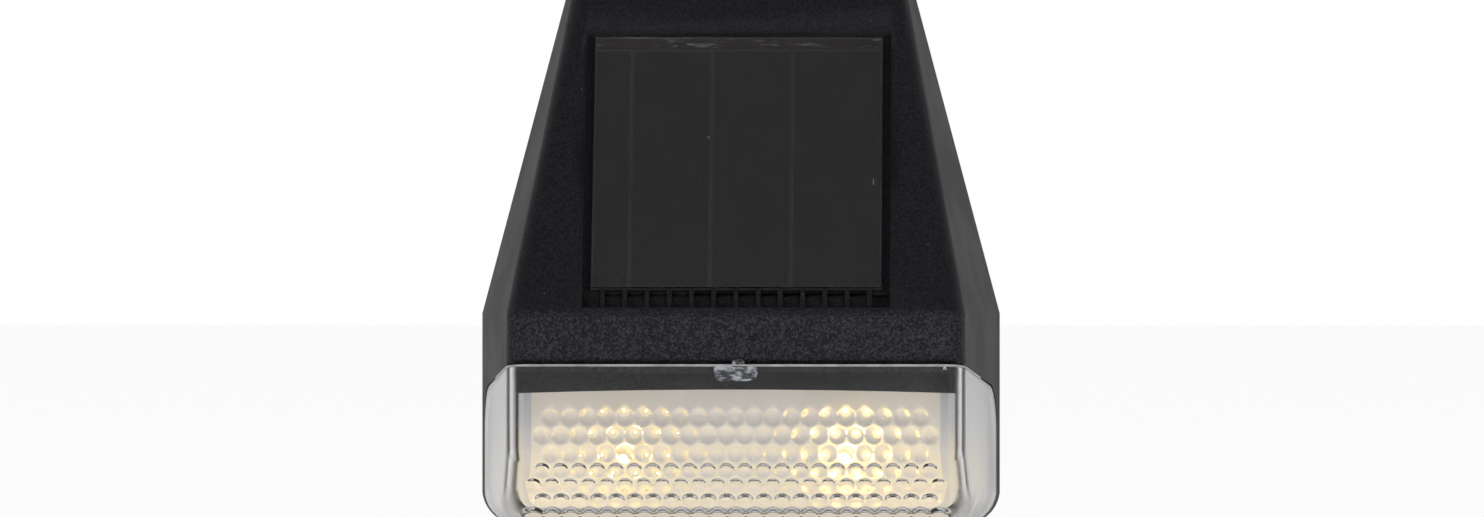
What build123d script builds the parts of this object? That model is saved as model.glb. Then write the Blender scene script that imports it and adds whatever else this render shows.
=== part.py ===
"""Solar fence light: a wedge casing with a solar panel on its sloped face and a clear lens below.

Millimetres. x runs to the right seen from the front, y runs into the fence and z runs up. The fence
face lies at y = 0 and the origin is midway between the entry holes of the two keyholes. In the names
below a depth is measured forward from the fence face and a height up from the bottom edge.
"""

import os
from math import atan2, cos, radians, sin, tan

from build123d import *

os.makedirs("parts", exist_ok=True)

# ---- casing ----
casing_width = 95.0  # across the flanks, at the fence face
casing_height = 97.0
top_width = 64.0  # across the top corners before rounding, at the fence face
waist_round = 15.0
body_depth = 43.0  # to the upright front band
top_depth = 11.5  # to the sloped face at the top edge
brow_height = 38.7  # above it the front slopes back and the flanks lean in
brow_round = 8.0
crest_round = 3.0
flank_draft = 8.7  # degrees that the flanks close in towards the front
bottom_corner = 6.6  # outline radius of the bottom corners
top_corner = 6.0  # outline radius of the top corners
edge_round = 3.6  # front edges of the casing
casing_wall = 2.0
rounding_skin = 0.05  # the solids that round the casing stand this far outside its flat faces
smallest_round = 0.6
overrun = 10.0  # cutting and trimming solids run this far past what they cut

# ---- seam between casing and lens ----
seam_height = 29.8  # at the front
seam_fall = 7.0  # degrees that the seam drops towards the fence
seam_corner = 8.0
seam_lead_in = 1.6  # rounded lower edge of the front band
rim_depth = 3.6  # the casing's rim runs round behind the lens

# ---- back cover and its seat ----
rim_wall = 1.6
ledge_width = 2.4
cover_thickness = 1.8
gasket_thickness = 0.5
gasket_margin = 0.4  # ledge left bare on each side of the gasket
cover_gap = 0.15
keyhole_spacing = 40.0
keyhole_height = 60.0  # entry holes
keyhole_entry_r = 4.2
keyhole_slot_r = 2.2
keyhole_rise = 6.0
cup_gap = 0.5  # room round the screw head
cup_depth = 4.8
cup_wall = 1.2

# ---- screws ----
screw_r = 1.25
screw_length = 9.0
screw_head_r = 2.5
screw_head_angle = 90.0
screw_gap = 0.02  # thread to pilot hole
screw_pass_gap = 0.3
boss_r = 2.9
boss_pad_r = 2.3
top_screw_x = 25.0
top_screw_inset = 10.5  # from the top edge
low_screw_inset = 9.4  # from the flank and from the bottom edge
screw_tip_cover = 1.2
web_half = 2.4
drive_recess_r = 1.0
drive_recess_depth = 0.7
drive_slot_width = 0.6

# ---- solar panel and its recess ----
panel_width = 52.4
panel_length = 51.9
panel_rise = 6.15  # brow line to the panel's lower edge, along the slope
tape_thickness = 0.4
tape_width = 6.0
backing_thickness = 0.4
cell_thickness = 0.2
glass_thickness = 0.8
cell_margin = 0.4
strip_gap = 0.8
narrow_strip = 6.1
wide_strip = 13.75
busbar_width = 1.8
recess_side_gap = 1.5
recess_top_gap = 1.0
recess_low_gap = 4.75  # holds the row of drain pockets
recess_depth = 2.8
floor_thickness = 1.5
pocket_count = 14
pocket_pitch = 4.0
rib_thickness = 0.85
pocket_extra_depth = 1.6
rib_below_face = 1.0
rib_panel_gap = 0.3
wire_hole_r = 3.6
wire_hole_rise = 12.0  # panel's lower edge to the hole's centre
terminal_size = 2.0
terminal_thickness = 0.3

# ---- lens ----
lens_wall = 1.6
lens_proud = 0.6
lens_crease_height = 13.0
lens_under_angle = 33.0  # degrees from upright, below the crease
lens_under_round = 14.0
lens_crease_round = 2.0
gate_width = 7.4
gate_height = 2.9
gate_proud = 0.25
gate_drop = 0.2  # lens edge to the gate pad
nub_width = 1.8
nub_height = 1.0
nub_shift = 0.5

# ---- partition, lip and reflector ----
partition_thickness = 1.6
partition_gap = 0.4  # seam to the partition's underside
lip_drop = 4.6  # below the seam, at the middle
lip_arch = 0.9  # further drop at the lip's ends
lip_thickness = 1.4
lip_inner_corner = 0.4
lip_gap = 0.15
lip_return = 3.0  # how far its ends run back along the flanks
notch_half = 6.5
notch_depth = 9.0
reflector_gap = 0.2  # to the lip
reflector_wall = 1.2
reflector_back_depth = 11.0
reflector_top_gap = 0.25
led_hole_gap = 0.1

# ---- circuit board ----
board_depth = 7.0  # to its rear face
board_thickness = 1.2
board_width = 62.0
board_height = 16.0
led_spacing = 40.5
led_height = 14.0
led_r = 2.5
led_length = 8.6
led_flange_r = 2.9
led_flange_thickness = 1.0
led_pin_r = 0.25
led_pin_spacing = 2.54
led_pin_tail = 1.5
pin_hole_gap = 0.1
board_screw_x = 28.0
board_screw_r = 1.0
board_screw_length = 5.5
board_screw_head_r = 1.8
board_screw_head_height = 1.2
board_screw_head_taper = 20.0  # degrees
board_boss_r = 2.6
chip_size = (5.0, 3.6, 1.6)
chip_x = -9.0
coil_r = 1.6
coil_length = 7.0
coil_tail = 1.5
coil_x = 12.5
capacitor_r = 2.0
capacitor_length = 4.4
capacitor_x = -15.0

# ---- slide switch ----
switch_width = 8.6
switch_height = 4.0
switch_depth = 3.6
switch_sheet = 0.3  # steel frame folded over the body
switch_travel = 2.0
knob_width = 2.0
knob_height = 1.8
knob_below_face = 0.5  # knob end to the fence face
slider_base_width = 3.6
slider_base_height = 2.6
slider_base_thickness = 1.4
slider_gap = 0.1
knob_gap = 0.2
window_gap = 0.6
switch_pin_pitch = 2.5
switch_pin_width = 0.5

# ---- battery ----
battery_r = 5.25
battery_length = 44.5
battery_height = 42.0
battery_seat_gap = 0.6  # cover to the cell's skin
battery_cap_r = 1.9
battery_cap_length = 0.8
cradle_play = 4.7  # room for the spring
cradle_wall = 1.6
cradle_depth = 13.5
saddle_x = 14.0
saddle_width = 3.0
saddle_reach = 1.0
saddle_gap = 0.05
contact_thickness = 0.4
contact_width = 9.0
contact_tail = 3.6
contact_tail_width = 3.0
spring_r = 3.0
spring_wire_r = 0.25
spring_turns = 3.5
spring_end_gap = 0.05

# ---- leads ----
lead_r = 0.5
lead_bend = 1.2
lead_drop_depth = 5.2
lead_spacing = 3.4
battery_lead_x = 4.6
lead_joint_height = 20.0
lead_first_run = 8.0
lead_above_partition = 2.4
lead_battery_gap = 4.0

# ---- places worked out from the sizes above ----
flank_lean = atan2((casing_width - top_width) / 2, casing_height - brow_height)
face_slope = atan2(body_depth - top_depth, casing_height - brow_height)
loft_depth = body_depth + overrun
side_reach = casing_width + overrun
lens_depth = body_depth + lens_proud
partition_low = seam_height + partition_gap
partition_high = partition_low + partition_thickness
head_height = (screw_head_r - screw_r) / tan(radians(screw_head_angle / 2))
ledge_depth = cover_thickness + gasket_thickness
board_front = board_depth + board_thickness
lip_depth = lens_depth - lens_wall - lip_gap
reflector_inset = lens_wall + lip_gap + lip_thickness + reflector_gap
top_screw_height = casing_height - top_screw_inset
low_screw_x = casing_width / 2 - low_screw_inset
cradle_half = (battery_length + cradle_play) / 2 + contact_thickness
battery_depth = cover_thickness + battery_seat_gap + battery_r
knob_rest_x = -switch_travel / 2


def z_of(height):
    return height - keyhole_height


def fence_plane(depth=0.0):
    """Sketch plane parallel to the fence, seen from the front: local x is x, local y is z."""
    return Plane.XZ.offset(depth)


def slope_plane(sunk=0.0):
    """Plane on the sloped face: local y runs up the slope from the brow line, local z outwards."""
    outward = Vector(0, -cos(face_slope), sin(face_slope))
    brow = Vector(0, -body_depth, z_of(brow_height))
    return Plane(origin=brow - outward * sunk, x_dir=(1, 0, 0), z_dir=outward)


def casing_outline(depth, inset):
    """The casing's outline at one depth, moved in by inset all round."""
    side = casing_width / 2 - inset - depth * tan(radians(flank_draft))
    waist_z = z_of(brow_height) - inset * tan(flank_lean / 2)
    top_z = z_of(casing_height) - inset
    top_x = side - (top_z - waist_z) * tan(flank_lean)
    low_z = z_of(0) + inset
    right = [(side, low_z), (side, waist_z), (top_x, top_z)]
    left = [(-x, z) for x, z in reversed(right)]
    with BuildSketch(fence_plane(depth)) as outline:
        with BuildLine():
            Polyline(*right, *left, close=True)
        make_face()
        rows = outline.vertices().group_by(Axis.Y)
        fillet(rows[0], radius=bottom_corner - inset)
        fillet(rows[1], radius=waist_round - inset)
        fillet(rows[2], radius=top_corner - inset)
    return outline.sketch


def flared_outline(inset, rear=0.0, front=loft_depth):
    """Solid between two depths whose flanks follow the casing's draft."""
    with BuildPart() as body:
        loft(sections=[casing_outline(rear, inset), casing_outline(front, inset)], ruled=True)
    return body.part


def side_profile(points, rounds=()):
    """Solid across the full width from (depth, height) points, with (corner number, radius) rounds."""
    with BuildPart() as body:
        with BuildSketch(Plane.YZ) as profile:
            with BuildLine():
                Polyline(*[(-depth, z_of(height)) for depth, height in points], close=True)
            make_face()
            for number, radius in rounds:
                depth, height = points[number]
                corner = profile.vertices().sort_by_distance((-depth, z_of(height)))[0]
                fillet(corner, radius=radius)
        extrude(amount=side_reach, both=True)
    return body.part


def casing_profile(inset):
    """Side view of the casing: upright front band, brow and sloped face."""
    front = body_depth - inset
    brow = brow_height - inset * tan(face_slope / 2)
    top = casing_height - inset
    crest = front - (top - brow) * tan(face_slope)
    rear = -overrun
    points = [(rear, rear), (front, rear), (front, brow), (crest, top), (rear, top)]
    return side_profile(points, [(2, brow_round - inset), (3, max(crest_round - inset, smallest_round))])


def lens_profile(inset):
    """Side view of the lens: upright front, a crease, a leaning face and a round underside."""
    under = radians(lens_under_angle)
    front = lens_depth - inset
    crease = lens_crease_height + inset * tan(under / 2)
    toe = front - (crease - inset) * tan(under)
    top = seam_height + 2 * overrun
    points = [(-overrun, inset), (toe, inset), (front, crease), (front, top), (-overrun, top)]
    return side_profile(points, [(1, lens_under_round - inset), (2, lens_crease_round)])


def seam_zone():
    """Everything below the seam and in front of the rim."""
    ahead = loft_depth + overrun
    ahead_height = seam_height + (ahead - body_depth) * tan(radians(seam_fall))
    rear_height = seam_height - (body_depth - rim_depth) * tan(radians(seam_fall))
    low = -overrun
    points = [(ahead, low), (ahead, ahead_height), (rim_depth, rear_height), (rim_depth, low)]
    return side_profile(points, [(2, seam_corner)])


def finish(name, label):
    name.part.label = label
    export_step(name.part, f"parts/{label}.step")


def plan_section(height, half_width, depth, corner):
    """The casing cut level at one height, with its front corners rounded."""
    front_half = half_width - depth * tan(radians(flank_draft))
    with BuildSketch(Plane.XY.offset(z_of(height))) as section:
        with BuildLine():
            Polyline(
                (-half_width, 0),
                (-front_half, -depth),
                (front_half, -depth),
                (half_width, 0),
                close=True,
            )
        make_face()
        fillet(section.vertices().group_by(Axis.Y)[0], radius=corner)
    return section.sketch


def upright_block(half_width, depth, corner):
    """Block with the casing's drafted flanks, from well below the casing to well above it."""
    with BuildPart() as body:
        low = plan_section(-casing_height, half_width, depth, corner)
        high = plan_section(2 * casing_height, half_width, depth, corner)
        loft(sections=[low, high], ruled=True)
    return body.part


def slab(low, high):
    """Everything between two heights."""
    with BuildPart() as body:
        with BuildSketch(Plane.XY.offset(z_of(low))):
            Rectangle(2 * side_reach, 2 * side_reach)
        extrude(amount=high - low)
    return body.part


def face_depth(height):
    """Depth of the sloped face at a height."""
    return body_depth - (height - brow_height) * tan(face_slope)


def across(x, depth, height, sizes):
    """Box with its centre in x and height and its rear face at a depth; sizes are x, depth, height."""
    with Locations((x, -depth - sizes[1] / 2, z_of(height))):
        return Box(*sizes)


# ---- front housing ----
with BuildPart() as casing_block:
    foot = plan_section(0, casing_width / 2, body_depth, edge_round)
    brow = plan_section(brow_height, casing_width / 2, body_depth, edge_round)
    crest = plan_section(casing_height, top_width / 2, top_depth, edge_round)
    loft(sections=[foot, brow, crest], ruled=True)
    add(flared_outline(-rounding_skin, 0, loft_depth), mode=Mode.INTERSECT)
    add(casing_profile(-rounding_skin), mode=Mode.INTERSECT)

recess_low = panel_rise - recess_low_gap
recess_high = panel_rise + panel_length + recess_top_gap
recess_width = panel_width + 2 * recess_side_gap
recess_mid = (recess_low + recess_high) / 2
recess_length = recess_high - recess_low
pocket_depth = recess_depth + pocket_extra_depth
pocket_high = panel_rise - rib_panel_gap
pocket_mid = (recess_low + pocket_high) / 2
pocket_length = pocket_high - recess_low
row_width = pocket_count * pocket_pitch - rib_thickness
wire_hole_y = panel_rise + wire_hole_rise
top_screws = [(side * top_screw_x, top_screw_height) for side in (-1, 1)]
low_screws = [(side * low_screw_x, low_screw_inset) for side in (-1, 1)]
boss_end = screw_length + screw_tip_cover

with BuildPart() as upper_room:
    add(flared_outline(casing_wall, rim_depth))
    add(casing_profile(casing_wall), mode=Mode.INTERSECT)
    add(slab(partition_high, 2 * casing_height), mode=Mode.INTERSECT)

with BuildPart() as lower_room:
    add(flared_outline(casing_wall, rim_depth))
    add(slab(-casing_height, partition_low), mode=Mode.INTERSECT)

# lip that the lens closes over: a level band, arched along its lower edge
lip_low = seam_height - lip_drop - lip_arch
lip_side = casing_width / 2 - lens_wall - lip_gap
lip_corner = edge_round - lens_wall - lip_gap
with BuildPart() as lip:
    with BuildSketch(fence_plane(lip_depth - lip_return)):
        with BuildLine():
            Polyline(
                (-lip_side, z_of(lip_low)),
                (-lip_side, z_of(partition_low)),
                (lip_side, z_of(partition_low)),
                (lip_side, z_of(lip_low)),
            )
            ThreePointArc(
                (lip_side, z_of(lip_low)),
                (0, z_of(seam_height - lip_drop)),
                (-lip_side, z_of(lip_low)),
            )
        make_face()
    extrude(amount=lip_return)
    add(upright_block(lip_side, lip_depth, lip_corner), mode=Mode.INTERSECT)
    add(
        upright_block(lip_side - lip_thickness, lip_depth - lip_thickness, lip_inner_corner),
        mode=Mode.SUBTRACT,
    )

with BuildPart() as front_housing:
    add(casing_block.part)
    add(seam_zone(), mode=Mode.SUBTRACT)
    add(upper_room.part, mode=Mode.SUBTRACT)
    add(lower_room.part, mode=Mode.SUBTRACT)
    # seat of the back cover, then the opening inside the gasket's ledge
    add(flared_outline(rim_wall, 0, ledge_depth), mode=Mode.SUBTRACT)
    add(flared_outline(rim_wall + ledge_width, 0, rim_depth), mode=Mode.SUBTRACT)
    # bosses for the upper screws run into the floor of the panel recess
    for x, height in top_screws:
        with BuildSketch(fence_plane(ledge_depth)):
            with Locations((x, z_of(height))):
                Circle(boss_r)
        extrude(amount=face_depth(height + boss_r) - casing_wall / 2 - ledge_depth)
    # bosses for the lower screws stand on webs between the rim's sides
    for x, height in low_screws:
        side = 1 if x > 0 else -1
        web_x = casing_width / 2 - rim_wall - ledge_width / 2
        web_thickness = rim_depth - ledge_depth
        with BuildSketch(fence_plane(ledge_depth)):
            with Locations((x, z_of(height))):
                Circle(boss_r)
        extrude(amount=boss_end - ledge_depth)
        across((x + side * web_x) / 2, ledge_depth, height, (web_x - abs(x), web_thickness, 2 * web_half))
        web_low = rim_wall + ledge_width / 2
        across(x, ledge_depth, (height + web_low) / 2, (2 * web_half, web_thickness, height - web_low))
    add(lip.part)
    # rounded lower edge of the front band
    with BuildSketch(Plane.YZ):
        with BuildLine():
            round_top = (-body_depth, z_of(seam_height + seam_lead_in))
            round_end = (-body_depth + seam_lead_in, z_of(seam_height))
            RadiusArc(round_top, round_end, -seam_lead_in)
            Polyline(
                round_end,
                (round_end[0], round_end[1] - seam_lead_in),
                (-loft_depth, round_end[1] - seam_lead_in),
                (-loft_depth, round_top[1]),
                round_top,
            )
        make_face()
    extrude(amount=side_reach, both=True, mode=Mode.SUBTRACT)
    # floor and walls behind the panel recess, deeper along the row of drain pockets
    with BuildSketch(slope_plane()):
        with Locations((0, recess_mid)):
            Rectangle(recess_width + 2 * floor_thickness, recess_length + 2 * floor_thickness)
    extrude(amount=-(recess_depth + floor_thickness))
    with BuildSketch(slope_plane()):
        with Locations((0, pocket_mid)):
            Rectangle(recess_width + 2 * floor_thickness, pocket_length + 2 * floor_thickness)
    extrude(amount=-(pocket_depth + floor_thickness))
    with BuildSketch(slope_plane()):
        with Locations((0, recess_mid)):
            Rectangle(recess_width, recess_length)
    extrude(amount=-recess_depth, mode=Mode.SUBTRACT)
    with BuildSketch(slope_plane()):
        with Locations((0, pocket_mid)):
            Rectangle(row_width, pocket_length)
    extrude(amount=-pocket_depth, mode=Mode.SUBTRACT)
    with BuildSketch(slope_plane(pocket_depth)):
        with Locations((0, pocket_mid)):
            with GridLocations(pocket_pitch, 1, pocket_count - 1, 1):
                Rectangle(rib_thickness, pocket_length)
    extrude(amount=pocket_depth - rib_below_face)
    with BuildSketch(slope_plane(recess_depth)):
        with Locations((0, wire_hole_y)):
            Circle(wire_hole_r)
    extrude(amount=-floor_thickness, mode=Mode.SUBTRACT)
    # pilot holes, and the notch that lets the leads down through the partition
    for x, height in top_screws + low_screws:
        with BuildSketch(fence_plane(ledge_depth)):
            with Locations((x, z_of(height))):
                Circle(screw_r + screw_gap)
        extrude(amount=screw_length + screw_gap - ledge_depth, mode=Mode.SUBTRACT)
    with Locations((0, -notch_depth / 2, z_of((partition_low + partition_high) / 2))):
        Box(2 * notch_half, notch_depth, 2 * partition_thickness, mode=Mode.SUBTRACT)
finish(front_housing, "front_housing")

# ---- back cover ----
keyholes = [(side * keyhole_spacing / 2, 0) for side in (-1, 1)]
slots = [(x, keyhole_rise / 2) for x, z in keyholes]
board_screws_at = [(side * board_screw_x, led_height) for side in (-1, 1)]
with BuildPart() as back_cover:
    add(flared_outline(rim_wall + cover_gap, 0, cover_thickness))
    # pads that pinch the casing's bosses, and bosses for the circuit board
    for x, height in top_screws + low_screws:
        with BuildSketch(fence_plane(cover_thickness)):
            with Locations((x, z_of(height))):
                Circle(boss_pad_r)
        extrude(amount=gasket_thickness)
    for x, height in board_screws_at:
        with BuildSketch(fence_plane(cover_thickness)):
            with Locations((x, z_of(height))):
                Circle(board_boss_r)
        extrude(amount=board_depth - cover_thickness)
    # closed cups behind the keyholes
    with BuildSketch(fence_plane(cover_thickness)):
        with Locations(*slots):
            SlotCenterToCenter(keyhole_rise, 2 * (keyhole_entry_r + cup_gap + cup_wall), rotation=90)
    extrude(amount=cup_depth + cup_wall)
    with BuildSketch(fence_plane(cover_thickness)):
        with Locations(*slots):
            SlotCenterToCenter(keyhole_rise, 2 * (keyhole_entry_r + cup_gap), rotation=90)
    extrude(amount=cup_depth, mode=Mode.SUBTRACT)
    # saddles and end walls of the battery cradle
    for x in (-saddle_x, saddle_x):
        saddle_height = 2 * (battery_r + saddle_reach)
        across(x, cover_thickness, battery_height, (saddle_width, battery_seat_gap + battery_r, saddle_height))
    for side in (-1, 1):
        wall_x = side * (cradle_half + cradle_wall / 2)
        wall_height = contact_width + cradle_wall
        across(wall_x, cover_thickness, battery_height, (cradle_wall, cradle_depth - cover_thickness, wall_height))
    with Locations(Location((0, -battery_depth, z_of(battery_height)), (0, 90, 0))):
        Cylinder(battery_r + saddle_gap, 2 * saddle_x + 2 * saddle_width, mode=Mode.SUBTRACT)
    # openings in the plate
    with BuildSketch(fence_plane()):
        with Locations(*keyholes):
            Circle(keyhole_entry_r)
        with Locations(*slots):
            SlotCenterToCenter(keyhole_rise, 2 * keyhole_slot_r, rotation=90)
        with Locations((0, z_of(led_height))):
            Rectangle(knob_width + switch_travel + 2 * window_gap, knob_height + 2 * window_gap)
    extrude(amount=cover_thickness, mode=Mode.SUBTRACT)
    for x, height in top_screws + low_screws:
        with Locations(Plane(origin=(x, 0, z_of(height)), z_dir=(0, 1, 0))):
            CounterSinkHole(
                screw_r + screw_pass_gap,
                screw_head_r + screw_gap,
                depth=ledge_depth,
                counter_sink_angle=screw_head_angle,
            )
    for x, height in board_screws_at:
        with BuildSketch(fence_plane(board_depth)):
            with Locations((x, z_of(height))):
                Circle(board_screw_r + screw_gap)
        extrude(amount=-(board_screw_length - board_thickness), mode=Mode.SUBTRACT)
finish(back_cover, "back_cover")

with BuildPart() as cover_gasket:
    add(flared_outline(rim_wall + gasket_margin, cover_thickness, ledge_depth))
    add(
        flared_outline(rim_wall + ledge_width - gasket_margin, cover_thickness, ledge_depth),
        mode=Mode.SUBTRACT,
    )
finish(cover_gasket, "cover_gasket")

with BuildPart() as cover_screws:
    for x, height in top_screws + low_screws:
        with BuildSketch(fence_plane()):
            with Locations((x, z_of(height))):
                Circle(screw_r)
        extrude(amount=screw_length)
        with Locations(Location((x, -head_height / 2, z_of(height)), (90, 0, 0))):
            Cone(screw_head_r, screw_r, head_height)
        with Locations((x, 0, z_of(height))):
            Box(2 * drive_recess_r, 2 * drive_recess_depth, drive_slot_width, mode=Mode.SUBTRACT)
            Box(drive_slot_width, 2 * drive_recess_depth, 2 * drive_recess_r, mode=Mode.SUBTRACT)
finish(cover_screws, "cover_screws")

# ---- solar panel, from the recess floor outwards ----
panel_mid = panel_rise + panel_length / 2
backing_sunk = recess_depth - tape_thickness
cells_sunk = backing_sunk - backing_thickness
glass_sunk = cells_sunk - cell_thickness
cells_length = panel_length - 2 * cell_margin - strip_gap - busbar_width
last_strip = panel_width - 2 * cell_margin - narrow_strip - 2 * wide_strip - 3 * strip_gap

with BuildPart() as panel_tape:
    with BuildSketch(slope_plane(recess_depth)):
        with Locations((0, panel_mid)):
            Rectangle(panel_width, panel_length)
            Rectangle(panel_width - 2 * tape_width, panel_length - 2 * tape_width, mode=Mode.SUBTRACT)
    extrude(amount=tape_thickness)
finish(panel_tape, "panel_tape")

with BuildPart() as panel_backing:
    with BuildSketch(slope_plane(backing_sunk)):
        with Locations((0, panel_mid)):
            Rectangle(panel_width, panel_length)
    extrude(amount=backing_thickness)
finish(panel_backing, "panel_backing")

with BuildPart() as solar_cells:
    strip_start = cell_margin - panel_width / 2
    for strip in (narrow_strip, wide_strip, wide_strip, last_strip):
        with BuildSketch(slope_plane(cells_sunk)):
            with Locations((strip_start + strip / 2, panel_rise + cell_margin + cells_length / 2)):
                Rectangle(strip, cells_length)
        extrude(amount=cell_thickness)
        strip_start += strip + strip_gap
finish(solar_cells, "solar_cells")

with BuildPart() as panel_busbar:
    with BuildSketch(slope_plane(cells_sunk)):
        with Locations((0, panel_rise + panel_length - cell_margin - busbar_width / 2)):
            Rectangle(panel_width - 2 * cell_margin, busbar_width)
    extrude(amount=cell_thickness)
finish(panel_busbar, "panel_busbar")

with BuildPart() as solar_glass:
    with BuildSketch(slope_plane(glass_sunk)):
        with Locations((0, panel_mid)):
            Rectangle(panel_width, panel_length)
    extrude(amount=glass_thickness)
finish(solar_glass, "solar_glass")

with BuildPart() as panel_terminals:
    with BuildSketch(slope_plane(backing_sunk)):
        with Locations((0, wire_hole_y)):
            with GridLocations(lead_spacing, 1, 2, 1):
                Rectangle(terminal_size, terminal_size)
    extrude(amount=-terminal_thickness)
finish(panel_terminals, "panel_terminals")

# ---- lens ----
with BuildPart() as lens_room:
    add(upright_block(casing_width / 2 - lens_wall, lens_depth - lens_wall, edge_round - lens_wall))
    add(flared_outline(lens_wall + rounding_skin), mode=Mode.INTERSECT)
    add(lens_profile(lens_wall), mode=Mode.INTERSECT)

with BuildPart() as lens:
    add(upright_block(casing_width / 2, lens_depth, edge_round))
    add(slab(0, brow_height), mode=Mode.INTERSECT)
    add(flared_outline(-rounding_skin), mode=Mode.INTERSECT)
    add(lens_profile(-rounding_skin), mode=Mode.INTERSECT)
    add(seam_zone(), mode=Mode.INTERSECT)
    add(lens_room.part, mode=Mode.SUBTRACT)
    # gate pad on the front face and the broken sprue above it
    with BuildSketch(fence_plane(lens_depth - gate_proud)):
        with Locations((0, z_of(seam_height - gate_drop - gate_height / 2))):
            RectangleRounded(gate_width, gate_height, gate_height / 4)
    extrude(amount=2 * gate_proud)
    across(nub_shift, body_depth, seam_height, (nub_width, lens_proud, 2 * nub_height))
finish(lens, "lens")

# ---- reflector ----
reflector_top = partition_low - reflector_top_gap
ceiling_low = reflector_top - reflector_wall
with BuildPart() as reflector_room:
    add(flared_outline(reflector_inset + reflector_wall, reflector_back_depth + reflector_wall))
    add(flared_outline(reflector_inset + reflector_wall, 0, reflector_back_depth))
    add(slab(-casing_height, ceiling_low), mode=Mode.INTERSECT)

with BuildPart() as reflector:
    add(flared_outline(reflector_inset, rim_depth))
    add(lens_profile(reflector_inset), mode=Mode.INTERSECT)
    add(slab(-casing_height, reflector_top), mode=Mode.INTERSECT)
    add(reflector_room.part, mode=Mode.SUBTRACT)
    with BuildSketch(fence_plane(reflector_back_depth)):
        with Locations((0, z_of(led_height))):
            with GridLocations(led_spacing, 1, 2, 1):
                Circle(led_r + led_hole_gap)
    extrude(amount=reflector_wall, mode=Mode.SUBTRACT)
    with Locations((0, -notch_depth / 2, z_of(reflector_top))):
        Box(2 * notch_half, notch_depth, 4 * reflector_wall, mode=Mode.SUBTRACT)
finish(reflector, "reflector")

# ---- circuit board and what it carries ----
leds_at = [(-1, "left"), (1, "right")]
led_pins_at = [
    (side * led_spacing / 2 + offset * led_pin_spacing / 2, z_of(led_height))
    for side, name in leds_at
    for offset in (-1, 1)
]
switch_pins_at = [(step * switch_pin_pitch, z_of(led_height)) for step in (-1, 0, 1)]

with BuildPart() as circuit_board:
    with BuildSketch(fence_plane(board_depth)):
        with Locations((0, z_of(led_height))):
            Rectangle(board_width, board_height)
        with Locations(*led_pins_at):
            Circle(led_pin_r + pin_hole_gap, mode=Mode.SUBTRACT)
        with Locations(*[(x, z_of(height)) for x, height in board_screws_at]):
            Circle(board_screw_r + pin_hole_gap, mode=Mode.SUBTRACT)
        with Locations(*switch_pins_at):
            Rectangle(switch_pin_width + pin_hole_gap, switch_pin_width + pin_hole_gap, mode=Mode.SUBTRACT)
    extrude(amount=board_thickness)
finish(circuit_board, "circuit_board")

with BuildPart() as board_screws:
    for x, height in board_screws_at:
        with BuildSketch(fence_plane(board_front - board_screw_length)):
            with Locations((x, z_of(height))):
                Circle(board_screw_r)
        extrude(amount=board_screw_length)
        with BuildSketch(fence_plane(board_front)):
            with Locations((x, z_of(height))):
                Circle(board_screw_head_r)
        extrude(amount=board_screw_head_height, taper=board_screw_head_taper)
finish(board_screws, "board_screws")

for side, name in leds_at:
    with BuildPart() as led:
        led_x = side * led_spacing / 2
        with BuildSketch(fence_plane(board_front)):
            with Locations((led_x, z_of(led_height))):
                Circle(led_flange_r)
        extrude(amount=led_flange_thickness)
        with BuildSketch(fence_plane(board_front)):
            with Locations((led_x, z_of(led_height))):
                Circle(led_r)
        extrude(amount=led_length - led_r)
        with Locations((led_x, -(board_front + led_length - led_r), z_of(led_height))):
            Sphere(led_r)
    finish(led, f"led_{name}")

with BuildPart() as led_pins:
    with BuildSketch(fence_plane(board_depth - led_pin_tail)):
        with Locations(*led_pins_at):
            Circle(led_pin_r)
    extrude(amount=board_thickness + led_pin_tail)
finish(led_pins, "led_pins")

with BuildPart() as driver_chip:
    across(chip_x, board_depth - chip_size[2], led_height, (chip_size[0], chip_size[2], chip_size[1]))
finish(driver_chip, "driver_chip")

with BuildPart() as driver_coil:
    with Locations(Location((coil_x, -(board_depth - coil_r), z_of(led_height)), (0, 90, 0))):
        Cylinder(coil_r, coil_length)
    wire = 2 * led_pin_r
    across(coil_x, board_depth - coil_r - led_pin_r, led_height, (coil_length + 2 * coil_tail, wire, wire))
    for side in (-1, 1):
        leg_x = coil_x + side * (coil_length / 2 + coil_tail - led_pin_r)
        across(leg_x, board_depth - coil_r - led_pin_r, led_height, (wire, coil_r + led_pin_r, wire))
finish(driver_coil, "driver_coil")

with BuildPart() as storage_capacitor:
    with BuildSketch(fence_plane(board_depth - capacitor_length)):
        with Locations((capacitor_x, z_of(led_height))):
            Circle(capacitor_r)
    extrude(amount=capacitor_length)
finish(storage_capacitor, "storage_capacitor")

# ---- slide switch ----
switch_rear = board_depth - switch_depth
slider_room_depth = slider_base_thickness + 2 * slider_gap

with BuildPart() as switch_body:
    across(0, switch_rear, led_height, (switch_width, switch_depth, switch_height))
    with BuildSketch(fence_plane(switch_rear)):
        with Locations((0, z_of(led_height))):
            Rectangle(
                slider_base_width + switch_travel + 2 * slider_gap,
                slider_base_height + 2 * slider_gap,
            )
    extrude(amount=slider_room_depth, mode=Mode.SUBTRACT)
finish(switch_body, "switch_body")

with BuildPart() as switch_frame:
    frame_height = switch_height + 2 * switch_sheet
    across(0, switch_rear - switch_sheet, led_height, (switch_width, switch_depth, frame_height))
    with Locations((0, -(switch_rear + switch_depth), z_of(led_height))):
        Box(2 * switch_width, 2 * switch_depth, switch_height, mode=Mode.SUBTRACT)
    with BuildSketch(fence_plane(switch_rear - switch_sheet)):
        with Locations((0, z_of(led_height))):
            Rectangle(knob_width + switch_travel + 2 * knob_gap, knob_height + 2 * knob_gap)
    extrude(amount=switch_sheet, mode=Mode.SUBTRACT)
finish(switch_frame, "switch_frame")

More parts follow.
